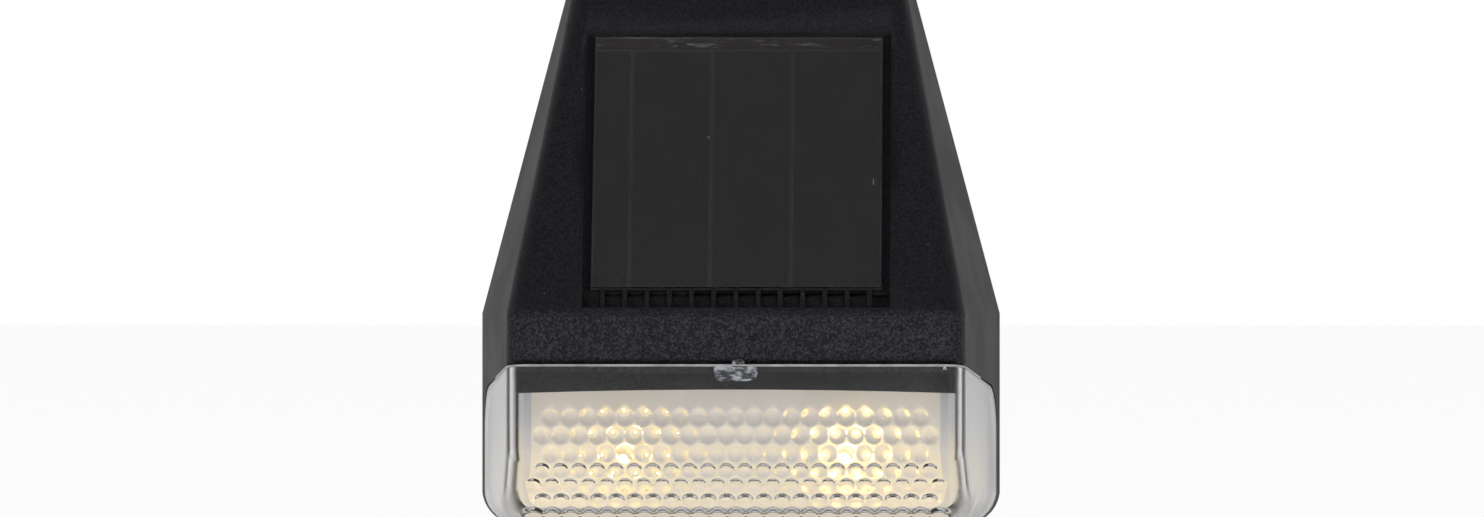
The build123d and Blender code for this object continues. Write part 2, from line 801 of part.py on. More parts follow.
with BuildPart() as switch_slider:
    across(
        knob_rest_x,
        switch_rear + slider_gap,
        led_height,
        (slider_base_width, slider_base_thickness, slider_base_height),
    )
    knob_length = switch_rear + 2 * slider_gap - knob_below_face
    across(knob_rest_x, knob_below_face, led_height, (knob_width, knob_length, knob_height))
finish(switch_slider, "switch_slider")

with BuildPart() as switch_pins:
    with BuildSketch(fence_plane(board_depth)):
        with Locations(*switch_pins_at):
            Rectangle(switch_pin_width, switch_pin_width)
    extrude(amount=board_thickness + switch_pin_width)
finish(switch_pins, "switch_pins")

# ---- battery and its contacts ----
plus_face = cradle_half - contact_thickness
cell_end = plus_face - battery_cap_length
cell_start = cell_end - (battery_length - battery_cap_length)
contact_reach = battery_depth + contact_width / 2 - cover_thickness
tail_low = battery_height - contact_width / 2 - contact_tail


def battery_disc(radius, start, length):
    """Cylinder along the battery's axis."""
    with BuildPart() as body:
        with BuildSketch(Plane.YZ.offset(start)):
            with Locations((-battery_depth, z_of(battery_height))):
                Circle(radius)
        extrude(amount=length)
    return body.part


with BuildPart() as battery_cell:
    add(battery_disc(battery_r, cell_start, cell_end - cell_start))
finish(battery_cell, "battery_cell")

with BuildPart() as battery_cap:
    add(battery_disc(battery_cap_r, cell_end, battery_cap_length))
finish(battery_cap, "battery_cap")

for side, name in ((-1, "battery_contact_minus"), (1, "battery_contact_plus")):
    with BuildPart() as contact:
        plate_x = side * (cradle_half - contact_thickness / 2)
        across(plate_x, cover_thickness, battery_height, (contact_thickness, contact_reach, contact_width))
        tail_mid = tail_low + contact_tail / 2 + contact_thickness
        tail_height = contact_tail + 2 * contact_thickness
        tail_start = board_depth - contact_tail_width / 2
        across(plate_x, tail_start, tail_mid, (contact_thickness, contact_tail_width, tail_height))
    finish(contact, name)

spring_start = -plus_face + spring_wire_r + spring_end_gap
spring_length = cell_start - spring_wire_r - spring_end_gap - spring_start
with BuildPart() as battery_spring:
    with BuildLine() as spring_line:
        Helix(
            spring_length / spring_turns,
            spring_length,
            spring_r,
            center=(spring_start, -battery_depth, z_of(battery_height)),
            direction=(1, 0, 0),
        )
    with BuildSketch(Plane(origin=spring_line.line @ 0, z_dir=spring_line.line % 0)):
        Circle(spring_wire_r)
    sweep(is_frenet=True)
finish(battery_spring, "battery_spring")


# ---- leads ----
def lead_along(points):
    """Insulated lead along points given as x, depth and height."""
    with BuildPart() as body:
        with BuildLine() as route:
            FilletPolyline(*[(x, -depth, z_of(height)) for x, depth, height in points], radius=lead_bend)
        with BuildSketch(Plane(origin=route.line @ 0, z_dir=route.line % 0)):
            Circle(lead_r)
        sweep(path=route.line)
    return body.part


def slope_point(rise, sunk):
    """Depth and height of a point on or below the sloped face."""
    depth = body_depth - rise * sin(face_slope) - sunk * cos(face_slope)
    height = brow_height + rise * cos(face_slope) - sunk * sin(face_slope)
    return depth, height


lead_top = partition_high + lead_above_partition
past_battery = (battery_depth + battery_r + lead_battery_gap, battery_height - battery_r / 2)
pad_face = backing_sunk + terminal_thickness

for side, name in ((-1, "solar_lead_black"), (1, "solar_lead_red")):
    lead_x = side * lead_spacing / 2
    solar_route = [
        (lead_x, *slope_point(wire_hole_y, pad_face)),
        (lead_x, *slope_point(wire_hole_y, pad_face + lead_first_run)),
        (lead_x, *past_battery),
        (lead_x, lead_drop_depth, lead_top),
        (lead_x, lead_drop_depth, lead_joint_height),
        (lead_x, board_depth, lead_joint_height),
    ]
    with BuildPart() as solar_lead:
        add(lead_along(solar_route))
    finish(solar_lead, name)

for side, name in ((-1, "battery_lead_black"), (1, "battery_lead_red")):
    battery_route = [
        (side * plus_face, board_depth, tail_low + lead_r),
        (side * battery_lead_x, lead_drop_depth, lead_top),
        (side * battery_lead_x, lead_drop_depth, lead_joint_height),
        (side * battery_lead_x, board_depth, lead_joint_height),
    ]
    with BuildPart() as battery_lead:
        add(lead_along(battery_route))
    finish(battery_lead, name)
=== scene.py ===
import math

import bmesh
import bpy
import numpy as np
from mathutils import Matrix, Vector


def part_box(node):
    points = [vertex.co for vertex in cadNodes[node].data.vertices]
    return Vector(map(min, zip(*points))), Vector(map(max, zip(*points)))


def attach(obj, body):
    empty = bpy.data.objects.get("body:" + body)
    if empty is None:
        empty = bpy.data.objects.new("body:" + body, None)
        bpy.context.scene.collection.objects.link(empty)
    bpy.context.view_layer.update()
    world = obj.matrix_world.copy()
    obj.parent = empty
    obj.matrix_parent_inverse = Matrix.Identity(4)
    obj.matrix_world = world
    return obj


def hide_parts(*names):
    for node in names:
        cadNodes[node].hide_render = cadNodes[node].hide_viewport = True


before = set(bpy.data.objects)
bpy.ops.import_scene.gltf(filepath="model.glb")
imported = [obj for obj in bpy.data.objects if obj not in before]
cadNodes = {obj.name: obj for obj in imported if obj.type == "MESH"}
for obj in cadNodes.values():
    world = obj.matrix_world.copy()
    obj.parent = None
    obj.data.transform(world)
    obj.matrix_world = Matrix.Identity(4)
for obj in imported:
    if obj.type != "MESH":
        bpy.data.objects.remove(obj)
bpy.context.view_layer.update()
mm = 0.001

housingLow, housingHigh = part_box("front_housing")
bottomZ = housingLow.z / mm
halfWidth = housingHigh.x / mm
print("frame loaded:", len(cadNodes), "nodes")


def atHeight(height):
    # sizes are in millimetres, with depths from the fence and heights from the bottom edge:
    # this turns such a height into the frame's own z in metres
    return (height + bottomZ) * mm


# ---- camera, as the photograph was taken ----
cameraValues = {
    "distance": 2.0,
    "azimuth": 1.3,  # degrees to the right of the front
    "frameWidth": 0.2724,  # seen across the picture at the fence face
    "aside": 0.2,  # of the picture's middle to the right of the light's, mm
    "sensor": 36.0,
    "height": 48.75,  # of the picture's middle above the light's bottom edge, mm
}


def setCamera():
    # level camera: it stands on a circle round the fence face and looks at the face's middle
    values = cameraValues
    turn = math.radians(values["azimuth"])
    target = Vector((values["aside"], 0, bottomZ + values["height"])) * mm
    away = Vector((math.sin(turn), -math.cos(turn), 0)) * values["distance"]
    data = bpy.data.cameras.new("photoCamera")
    data.sensor_width = values["sensor"]
    data.lens = values["sensor"] * values["distance"] / values["frameWidth"]
    camera = bpy.data.objects.new("photoCamera", data)
    camera.location = target + away
    camera.rotation_euler = (math.pi / 2, 0, turn)
    bpy.context.scene.collection.objects.link(camera)
    bpy.context.scene.camera = camera


setCamera()
bpy.context.scene.view_settings.view_transform = "Standard"
print("camera set")


# ---- node trees ----
def newMaterial(name):
    material = bpy.data.materials.new(name)
    material.use_nodes = True
    return material, material.node_tree, material.node_tree.nodes["Principled BSDF"]


def connect(tree, socket, value):
    # another node's output is linked, and a plain colour gets its fourth number
    if isinstance(value, bpy.types.NodeSocket):
        tree.links.new(value, socket)
    elif socket.type == "RGBA":
        socket.default_value = (*value[:3], 1)
    else:
        socket.default_value = value


def setSockets(tree, node, **sockets):
    # sockets by their names, with an underscore for each space
    for name, value in sockets.items():
        connect(tree, node.inputs[name.replace("_", " ")], value)


def addNode(tree, kind, **sockets):
    node = tree.nodes.new(kind)
    setSockets(tree, node, **sockets)
    return node


def mathNode(tree, operation, first, second=0.0, kind="ShaderNodeMath", output="Value"):
    node = tree.nodes.new(kind)
    node.operation = operation
    connect(tree, node.inputs[0], first)
    connect(tree, node.inputs[1], second)
    return node.outputs[output]


def distance(tree, place, target):
    return mathNode(tree, "DISTANCE", place, target, "ShaderNodeVectorMath")


def mapRange(tree, value, low, high, toLow=0.0, toHigh=1.0, smooth=True):
    node = tree.nodes.new("ShaderNodeMapRange")
    node.interpolation_type = "SMOOTHSTEP" if smooth else "LINEAR"
    for socket, given in zip(node.inputs, (value, low, high, toLow, toHigh)):
        connect(tree, socket, given)
    return node.outputs["Result"]


def mixColor(tree, share, first, second):
    node = tree.nodes.new("ShaderNodeMix")
    node.data_type = "RGBA"
    setSockets(tree, node, Factor=share, A=first, B=second)
    return node.outputs["Result"]


def objectPlace(tree):
    return tree.nodes.new("ShaderNodeTexCoord").outputs["Object"]


def coordinates(tree, place):
    return addNode(tree, "ShaderNodeSeparateXYZ", Vector=place).outputs


def stretched(tree, place, scale, lean=0.0):
    # the place scaled along each axis, which draws a pattern out where the scale is small; lean in degrees
    turn = (0, math.radians(lean), 0)
    return addNode(tree, "ShaderNodeMapping", Vector=place, Rotation=turn, Scale=scale).outputs["Vector"]


def noise(tree, place, grain, detail=2.0, roughness=0.5):
    # soft noise whose blotches are about one grain across, in millimetres
    scale = 1 / (grain * mm)
    return addNode(tree, "ShaderNodeTexNoise", Vector=place, Scale=scale, Detail=detail,
                   Roughness=roughness).outputs["Fac"]


def specks(tree, place, spacing, size, share, core=0.4):
    # small dots: one in each cell of the given spacing, kept in a share of the cells; each is full inside
    # its core, a share of its size, and fades out at its size
    cells = addNode(tree, "ShaderNodeTexVoronoi", Vector=place, Scale=1 / (spacing * mm))
    near = mapRange(tree, cells.outputs["Distance"], size / spacing, core * size / spacing)
    drawn = addNode(tree, "ShaderNodeSeparateColor", Color=cells.outputs["Color"]).outputs[0]
    return mathNode(tree, "MULTIPLY", near, mathNode(tree, "LESS_THAN", drawn, share))


def bump(tree, shader, height, depth):
    node = addNode(tree, "ShaderNodeBump", Height=height, Distance=depth * mm, Strength=1.0)
    tree.links.new(node.outputs["Normal"], shader.inputs["Normal"])


# ---- finishes ----
colorSpan = (0.35, 0.65)  # a noise lies mostly in this span, over which a colour changes
glossSpan = (0.30, 0.70)  # gloss changes over a wider one

casingValues = {
    "dark": (0.0058, 0.0056, 0.0076),
    "pale": (0.0168, 0.0160, 0.0200),
    "grain": 0.42,  # spark texture of the mould, mm
    "grainSpan": (0.36, 0.66),
    "grainDepth": 0.05,
    "patches": 14,  # of more and less gloss, mm
    "roughness": (0.50, 0.56),
    "specular": 0.18,
    "speckColor": (0.11, 0.11, 0.115),
    "specks": (1.5, 0.22, 0.06),  # dust: spacing and size in mm, and the share of the places that has a speck
    "speckStrength": 0.55,
    "bandTop": (40.5, 37.5),  # painted sheen lightens the grain of the upright band, from this height down
    "bandFront": (37.0, 39.0),  # and only this far out from the fence
    "bandSheenColor": (1.0, 0.97, 1.0),
    "bandSheenSpan": (0.42, 0.70),
    "bandSheen": 0.034,
}


def casingPlastic():
    # black moulding: dark and pale by its grain, with painted sheen lightening the upright band's grain, and
    # a few dust specks
    v = casingValues
    material, tree, shader = newMaterial("casingPlastic")
    place = objectPlace(tree)
    grain = noise(tree, place, v["grain"], detail=4, roughness=0.65)
    patches = noise(tree, place, v["patches"], detail=4)
    dust = specks(tree, place, *v["specks"])
    parts = coordinates(tree, place)
    band = mapRange(tree, parts["Z"], *(atHeight(height) for height in v["bandTop"]))
    front = mapRange(tree, parts["Y"], *(-depth * mm for depth in v["bandFront"]))
    band = mathNode(tree, "MULTIPLY", band, front)
    color = mixColor(tree, mapRange(tree, grain, *v["grainSpan"]), v["dark"], v["pale"])
    # painted sheen: the upright band's grain is mixed towards pale, standing for the light its face catches
    paintedSheen = mathNode(tree, "MULTIPLY", band, mapRange(tree, grain, *v["bandSheenSpan"], 0, v["bandSheen"]))
    color = mixColor(tree, paintedSheen, color, v["bandSheenColor"])
    color = mixColor(tree, mathNode(tree, "MULTIPLY", dust, v["speckStrength"]), color, v["speckColor"])
    gloss = mapRange(tree, patches, *colorSpan, *v["roughness"])
    setSockets(tree, shader, Base_Color=color, Roughness=gloss, Specular_IOR_Level=v["specular"])
    bump(tree, shader, grain, v["grainDepth"])
    return material


clearValues = {
    "color": (0.86, 0.86, 0.865),
    "ior": 1.49,
    "smears": 6,
    "smearSpan": (0.4, 0.75),
    "roughness": (0.01, 0.06),
    "flankFrom": (37.5, 40.0),  # the ends of the lens are less polished than its face, mm from the middle
    "flankRoughness": 0.14,
}


def clearPlastic():
    v = clearValues
    material, tree, shader = newMaterial("clearPlastic")
    place = objectPlace(tree)
    smears = mapRange(tree, noise(tree, place, v["smears"], detail=5), *v["smearSpan"], *v["roughness"])
    aside = mathNode(tree, "ABSOLUTE", coordinates(tree, place)["X"])
    near, far = v["flankFrom"]
    flank = mapRange(tree, aside, near * mm, far * mm, 0, v["flankRoughness"])
    setSockets(tree, shader, Base_Color=v["color"], Transmission_Weight=1.0, IOR=v["ior"],
               Roughness=mathNode(tree, "MAXIMUM", smears, flank))
    return material


frostedValues = {
    "flakes": 0.9,
    "stretch": (0.45, 1.0, 1.0),
    "lean": 35,
    "colorSpan": (0.42, 0.60),
    "dark": (0.035, 0.036, 0.042),
    "pale": (0.42, 0.45, 0.49),
    "glossSpan": (0.4, 0.6),
    "roughness": (0.2, 0.5),
    "depth": 0.15,
}


def frostedPlastic():
    # torn plastic: pale streaks leaning to one side over glassy dark
    v = frostedValues
    material, tree, shader = newMaterial("frostedPlastic")
    leaning = stretched(tree, objectPlace(tree), v["stretch"], v["lean"])
    flakes = noise(tree, leaning, v["flakes"], detail=5, roughness=0.7)
    color = mixColor(tree, mapRange(tree, flakes, *v["colorSpan"]), v["dark"], v["pale"])
    gloss = mapRange(tree, flakes, *v["glossSpan"], *v["roughness"])
    setSockets(tree, shader, Base_Color=color, Roughness=gloss)
    bump(tree, shader, flakes, v["depth"])
    return material


edgeHighlightValues = {"wear": 3, "dark": (0.36, 0.35, 0.34), "pale": (0.52, 0.50, 0.49), "roughness": (0.25, 0.45)}


def edgeFlashHighlight():
    # the lens's cut edge: matt flash where the two halves of its mould met, painted pale grey as the
    # highlight line along the lit edge
    v = edgeHighlightValues
    material, tree, shader = newMaterial("edgeFlashHighlight")
    wear = noise(tree, objectPlace(tree), v["wear"], detail=4)
    # painted highlight: the pale grey stands for the light that the rounded edge catches
    color = mixColor(tree, mapRange(tree, wear, *colorSpan), v["dark"], v["pale"])
    setSockets(tree, shader, Base_Color=color, Roughness=mapRange(tree, wear, *glossSpan, *v["roughness"]))
    return material


reflectorValues = {
    "shade": (0.78, 0.77, 0.76),
    "color": (0.84, 0.83, 0.82),
    "cloud": 9,
    "roughness": (0.30, 0.42),
    "ripple": 0.6,
    "rippleDepth": 0.01,
    "topGlow": (0.88, 0.90, 1.0),
    "glow": (1.0, 0.84, 0.56),
    "glowStrength": 0.32,
    "topShare": 0.42,
    "glowTop": 22.0,  # above this height the LEDs' light doesn't reach
    "glowFull": 9.0,
    "halo": (3.0, 11.0),  # warm light round an LED: full inside the first distance, none past the second
    "haloShares": {"led_left": 0.2, "led_right": 0.45},
    "haloColor": (0.84, 0.71, 0.34),
    "haloTints": {"led_left": 0.7, "led_right": 0.95},
    "flare": (4.5, 7.0),  # and the yellow glare closer by
    "flareColor": (1.0, 0.86, 0.50),
    "flareStrengths": {"led_left": 0.20, "led_right": 0.50},
    "rim": (38.0, 38.6),  # painted light: the rim next to the lens glows a little more from here on, mm from the middle
    "rimGlowShare": 0.3,
}


def ledDistance(tree, place, node):
    # distance from an LED's axis: the place and the axis are both flattened onto the front
    low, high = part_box(node)
    axis = ((low.x + high.x) / 2, 0, (low.z + high.z) / 2)
    flat = mathNode(tree, "MULTIPLY", place, (1, 0, 1), "ShaderNodeVectorMath", "Vector")
    return distance(tree, flat, axis)


def reflectorPlastic():
    # white chamber with its LEDs' light painted on as glow from its own walls: the painted glow grows
    # downwards, with a halo and a flare round each LED
    v = reflectorValues
    material, tree, shader = newMaterial("reflectorWhite")
    place = objectPlace(tree)
    cloud = noise(tree, place, v["cloud"], detail=3)
    color = mixColor(tree, mapRange(tree, cloud, *glossSpan), v["shade"], v["color"])
    parts = coordinates(tree, place)
    low = mapRange(tree, parts["Z"], atHeight(v["glowTop"]), atHeight(v["glowFull"]))
    near, far = v["rim"]
    rim = mapRange(tree, mathNode(tree, "ABSOLUTE", parts["X"]), near * mm, far * mm, 0, v["rimGlowShare"])
    glow, flare = mathNode(tree, "ADD", low, rim), 0.0
    for node, share in v["haloShares"].items():
        away = ledDistance(tree, place, node)
        near, far = v["halo"]
        halo = mapRange(tree, away, far * mm, near * mm)
        # painted light: the halo also warms the base colour round each LED
        color = mixColor(tree, mathNode(tree, "MULTIPLY", halo, v["haloTints"][node]), color, v["haloColor"])
        glow = mathNode(tree, "ADD", glow, mathNode(tree, "MULTIPLY", halo, share))
        near, far = v["flare"]
        glare = mapRange(tree, away, far * mm, near * mm, 0, v["flareStrengths"][node])
        flare = mathNode(tree, "ADD", flare, glare)
    tint = mixColor(tree, mathNode(tree, "MINIMUM", glow, 1.0), v["topGlow"], v["glow"])
    tint = mixColor(tree, mathNode(tree, "MINIMUM", flare, 1.0), tint, v["flareColor"])
    glow = mathNode(tree, "MULTIPLY", mathNode(tree, "ADD", glow, v["topShare"]), v["glowStrength"])
    setSockets(tree, shader, Base_Color=color, Roughness=mapRange(tree, cloud, *glossSpan, *v["roughness"]),
               Emission_Color=tint, Emission_Strength=mathNode(tree, "ADD", glow, flare))
    bump(tree, shader, noise(tree, place, v["ripple"]), v["rippleDepth"])
    return material


filmValues = {
    "streak": 0.7,
    "stretch": (1.0, 0.06, 0.06),
    "dark": (0.0200, 0.0186, 0.0190),
    "pale": (0.0262, 0.0240, 0.0243),
    "roughness": 0.42,
    "depth": 0.004,
    "scratchColor": (0.55, 0.50, 0.48),
    "scratchFade": 0.05,  # either side of its border, mm
    "scratches": (
        # across, height, half width, half height in mm, and how light it is
        (-26.0, 71.5, 0.10, 1.4, 0.5),
        (-26.3, 66.0, 0.10, 0.8, 0.3),
        (-5.2, 70.6, 0.28, 0.28, 0.45),
        (24.6, 62.5, 0.12, 0.5, 0.6),
    ),
}


def scratch(tree, place, across, height, halfWide, halfHigh):
    # a small upright mark: one inside its half width and half height, and fading over its border
    parts = coordinates(tree, place)
    fade = filmValues["scratchFade"]
    inside = []
    for axis, middle, half in (("X", across * mm, halfWide), ("Z", atHeight(height), halfHigh)):
        away = mathNode(tree, "ABSOLUTE", mathNode(tree, "SUBTRACT", parts[axis], middle))
        inside.append(mapRange(tree, away, (half + fade) * mm, (half - fade) * mm))
    return mathNode(tree, "MULTIPLY", *inside)


def solarFilm():
    # thin-film cells: nearly black brown with very faint streaks along the strips
    v = filmValues
    material, tree, shader = newMaterial("solarFilm")
    place = objectPlace(tree)
    streak = noise(tree, stretched(tree, place, v["stretch"]), v["streak"], detail=3)
    color = mixColor(tree, mapRange(tree, streak, *glossSpan), v["dark"], v["pale"])
    for *where, light in v["scratches"]:
        mark = mathNode(tree, "MULTIPLY", scratch(tree, place, *where), light)
        color = mixColor(tree, mark, color, v["scratchColor"])
    setSockets(tree, shader, Base_Color=color, Roughness=v["roughness"])
    bump(tree, shader, streak, v["depth"])
    return material


scuffValues = {
    "stretch": (0.16, 1.0, 1.0),
    "wear": 0.45,
    "wearSpan": (0.54, 0.66),
    "where": 7,
    "whereSpan": (0.44, 0.58),
    "roughness": (0.35, 0.6),
}


def panelEdging(name, color, scuff, amount):
    # printed backing and busbar, with whitish scuffs drawn out sideways in places
    v = scuffValues
    material, tree, shader = newMaterial(name)
    place = objectPlace(tree)
    wear = noise(tree, stretched(tree, place, v["stretch"]), v["wear"], detail=4, roughness=0.6)
    where = noise(tree, place, v["where"], detail=2)
    worn = mapRange(tree, wear, *v["wearSpan"])
    mask = mathNode(tree, "MULTIPLY", worn, mapRange(tree, where, *v["whereSpan"]))
    color = mixColor(tree, mathNode(tree, "MULTIPLY", mask, amount), color, scuff)
    setSockets(tree, shader, Base_Color=color, Roughness=mapRange(tree, wear, *glossSpan, *v["roughness"]))
    return material


panelGlassValues = {"color": (0.96, 0.95, 0.95), "ior": 1.35, "smears": 12, "roughness": (0.03, 0.12)}


def coverGlass():
    v = panelGlassValues
    material, tree, shader = newMaterial("coverGlass")
    smears = noise(tree, objectPlace(tree), v["smears"], detail=4)
    setSockets(tree, shader, Base_Color=v["color"], Transmission_Weight=1.0, IOR=v["ior"],
               Roughness=mapRange(tree, smears, *glossSpan, *v["roughness"]))
    return material


ledGlowValues = {
    "cupDepth": 5.0,  # the bright die lies deep in its cup, so it is seen only from near the axis
    "coreColor": (1.0, 0.95, 0.80),
    "coreFade": (0.97, 0.85),  # shares of the core's radius
    "resin": (1.0, 0.74, 0.34),
    "unlit": (0.9, 0.8, 0.5),
    "roughness": 0.2,
    "led_left": {"core": 1.4, "coreStrength": 5.0, "resinStrength": 0.28},
    "led_right": {"core": 1.8, "coreStrength": 9.0, "resinStrength": 0.40},
}


def ledGlow(name, node):
    # lit resin: the bright die round the LED's axis, and the dimmer warm dome
    v, led = ledGlowValues, ledGlowValues[node]
    material, tree, shader = newMaterial(name)
    away = ledDistance(tree, objectPlace(tree), node)
    core = mapRange(tree, away, *(led["core"] * mm * share for share in v["coreFade"]))
    strength = mapRange(tree, core, 0, 1, led["resinStrength"], led["coreStrength"], smooth=False)
    setSockets(tree, shader, Base_Color=v["unlit"], Roughness=v["roughness"],
               Emission_Color=mixColor(tree, core, v["resin"], v["coreColor"]), Emission_Strength=strength)
    return material


plainValues = {
    # how dark the blotches are, how gloss varies with them, and their depth in mm
    "metal": {"metallic": 1.0, "detail": 4, "darkShare": 0.8, "glossShares": (0.8, 1.3), "depth": 0.01},
    "plastic": {"metallic": 0.0, "detail": 3, "darkShare": 0.75, "glossShares": (0.85, 1.15), "depth": 0.008},
}


def plainFinish(name, kind, color, roughness, grain=0.8):
    # colour, gloss and height all follow one fine noise
    v = plainValues[kind]
    material, tree, shader = newMaterial(name)
    blotches = noise(tree, objectPlace(tree), grain, detail=v["detail"])
    dark = tuple(part * v["darkShare"] for part in color)
    gloss = (roughness * share for share in v["glossShares"])
    setSockets(tree, shader, Base_Color=mixColor(tree, mapRange(tree, blotches, *colorSpan), dark, color),
               Roughness=mapRange(tree, blotches, *glossSpan, *gloss), Metallic=v["metallic"])
    bump(tree, shader, blotches, v["depth"])
    return material


finishes = {
    "casing": casingPlastic(),
    "clear": clearPlastic(),
    "frosted": frostedPlastic(),
    "edge": edgeFlashHighlight(),
    "reflector": reflectorPlastic(),
    "cells": solarFilm(),
    "busbar": panelEdging("busbarPrint", (0.033, 0.027, 0.032), (0.34, 0.34, 0.36), 0.75),
    "backing": panelEdging("panelBacking", (0.058, 0.048, 0.049), (0.13, 0.12, 0.12), 0.3),
    "glass": coverGlass(),
    "ledLeft": ledGlow("ledGlowLeft", "led_left"),
    "ledRight": ledGlow("ledGlowRight", "led_right"),
    "steel": plainFinish("platedSteel", "metal", (0.56, 0.56, 0.57), 0.3),
    "tin": plainFinish("tinnedPins", "metal", (0.60, 0.59, 0.57), 0.35),
    "copper": plainFinish("coilCopper", "metal", (0.62, 0.30, 0.15), 0.4),
    "aluminium": plainFinish("canAluminium", "metal", (0.68, 0.68, 0.70), 0.35),
    "rubber": plainFinish("gasketRubber", "plastic", (0.025, 0.025, 0.025), 0.8),
    "tape": plainFinish("foamTape", "plastic", (0.022, 0.022, 0.022), 0.9, 0.3),
    "board": plainFinish("boardLaminate", "plastic", (0.03, 0.16, 0.07), 0.45, 0.4),
    "chip": plainFinish("chipPlastic", "plastic", (0.02, 0.02, 0.02), 0.5, 0.3),
    "knob": plainFinish("knobPlastic", "plastic", (0.03, 0.03, 0.032), 0.45, 0.4),
    "sleeve": plainFinish("batterySleeve", "plastic", (0.06, 0.22, 0.11), 0.3, 2.0),
    "blackLead": plainFinish("leadBlack", "plastic", (0.015, 0.015, 0.015), 0.5),
    "redLead": plainFinish("leadRed", "plastic", (0.42, 0.02, 0.015), 0.5),
    "marks": plainFinish("markPaint", "plastic", (0.70, 0.70, 0.70), 0.6, 0.3),
}
print("finishes made:", len(finishes))


# ---- mesh helpers ----
mergeValues = {"doubles": 1e-7, "slivers": 1e-8, "cadDoubles": 2e-6}  # points closer than this are one, m


def makePiece(name, points, faces, finish, body="light", sharpAngle=None):
    # points in millimetres as (x, depth, height); doubles are merged and the faces turned outwards
    places = np.column_stack((points[:, 0], -points[:, 1], points[:, 2] + bottomZ)) * mm
    mesh = bpy.data.meshes.new(name)
    mesh.from_pydata(places.tolist(), [], faces.tolist())
    work = bmesh.new()
    work.from_mesh(mesh)
    bmesh.ops.remove_doubles(work, verts=work.verts, dist=mergeValues["doubles"])
    bmesh.ops.dissolve_degenerate(work, edges=work.edges, dist=mergeValues["slivers"])
    bmesh.ops.recalc_face_normals(work, faces=work.faces)
    work.to_mesh(mesh)
    work.free()
    return placePiece(name, mesh, finish, body, sharpAngle)


def placePiece(name, mesh, finish, body, sharpAngle):
    mesh.materials.clear()
    mesh.materials.append(finishes[finish])
    mesh.polygons.foreach_set("use_smooth", np.ones(len(mesh.polygons), bool))
    if sharpAngle is not None:
        mesh.set_sharp_from_angle(angle=math.radians(sharpAngle))
    piece = bpy.data.objects.new(name, mesh)
    bpy.context.scene.collection.objects.link(piece)
    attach(piece, body)
    return piece


def smoothCopy(name, node, finish, body="light", sharpAngle=28):
    # the node's own shape with its triangles merged, so that its rounds shade smoothly
    mesh = cadNodes[node].data.copy()
    mesh.name = name
    work = bmesh.new()
    work.from_mesh(mesh)
    bmesh.ops.remove_doubles(work, verts=work.verts, dist=mergeValues["cadDoubles"])
    work.to_mesh(mesh)
    work.free()
    piece = placePiece(name, mesh, finish, body, sharpAngle)
    # large flat faces decide how the rounds beside them shade
    shade = piece.modifiers.new("evenShade", "WEIGHTED_NORMAL")
    shade.keep_sharp = True
    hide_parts(node)
    return piece


def gridFaces(rows, columns, start=0, wrap=False):
    # four corners of each cell of a grid stored row by row; wrap joins the last column to the first
    across = columns if wrap else columns - 1
    row, column = np.meshgrid(np.arange(rows - 1), np.arange(across), indexing="ij")
    following = (column + 1) % columns
    corners = (row * columns + column, row * columns + following,
               (row + 1) * columns + following, (row + 1) * columns + column)
    return start + np.stack(corners, axis=-1).reshape(-1, 4)


# ---- lens ----
lensValues = {
    "wall": 1.15,
    "creaseHeight": 13.0,
    "leanAngle": 33.0,  # below the crease, from upright
    "creaseRound": 4.5,
    "creaseLoss": 0.5,  # share of an inset that the crease's round loses
    "underRound": 14.0,
    "frontRound": 3.8,
    "bottomRound": 6.6,
    "draftAngle": 8.7,
    "seamHeight": 29.8,
    "seamFall": 7.0,
    "seamCorner": 8.0,
    "rimRound": 0.45,
    "rimTurns": (30, 60, 90),  # steps of the rim's two quarter rounds
    "seamGap": 0.08,
    "rollBlend": 2.4,  # how far from the crease the side edges already turn with it
    "beadRadius": 0.22,
    "beadShift": (0, -0.08, 0.27),
    "beadEnd": 0.42,  # share of each seam that the bead runs along
    "beadSides": 8,
    "beadStep": 0.02,  # least distance between its rings
}
pimpleValues = {
    "pitch": 3.32,
    "rowPitch": 3.28,
    "firstRow": 9.0,  # down the inside from the upper edge, mm
    "rowCounts": (21, 22, 21, 22, 23, 22, 23, 22),
    "radius": 1.63,
    "rises": (0.64, 0.64, 0.64, 0.62, 0.58, 0.56, 0.56, 0.56),
    "flatRow": 2,  # the pimple of this row right in front of each LED is flatter, and shows it whole
    "flatAcross": 20.25,
    "flatRise": 0.26,
}
lensGrid = {
    # columns from the middle outwards
    "middle": 122,
    "roll": 8,
    "flank": 14,
    # rows down the profile
    "upper": 7,
    "pimpled": 92,
    "rear": 14,
    # steps of the running sums
    "path": 6001,
    "blend": 25,
}


def turningPath(start, lengths, headings, share):
    # straight runs and arcs: the heading (0 down, 90 back) changes evenly along each stretch,
    # and the place is the running sum of its sine and cosine
    knots = np.concatenate(([0.0], np.cumsum(lengths)))
    fine = np.linspace(0, knots[-1], lensGrid["path"])
    heading = np.interp(fine, knots, np.radians(headings))
    middle = (heading[1:] + heading[:-1]) / 2
    step = fine[1]
    depth = start[0] - np.concatenate(([0.0], np.cumsum(np.sin(middle)))) * step
    height = start[1] - np.concatenate(([0.0], np.cumsum(np.cos(middle)))) * step
    along = share * knots[-1]
    return (np.interp(along, fine, depth), np.interp(along, fine, height),
            np.interp(along, fine, heading), along)


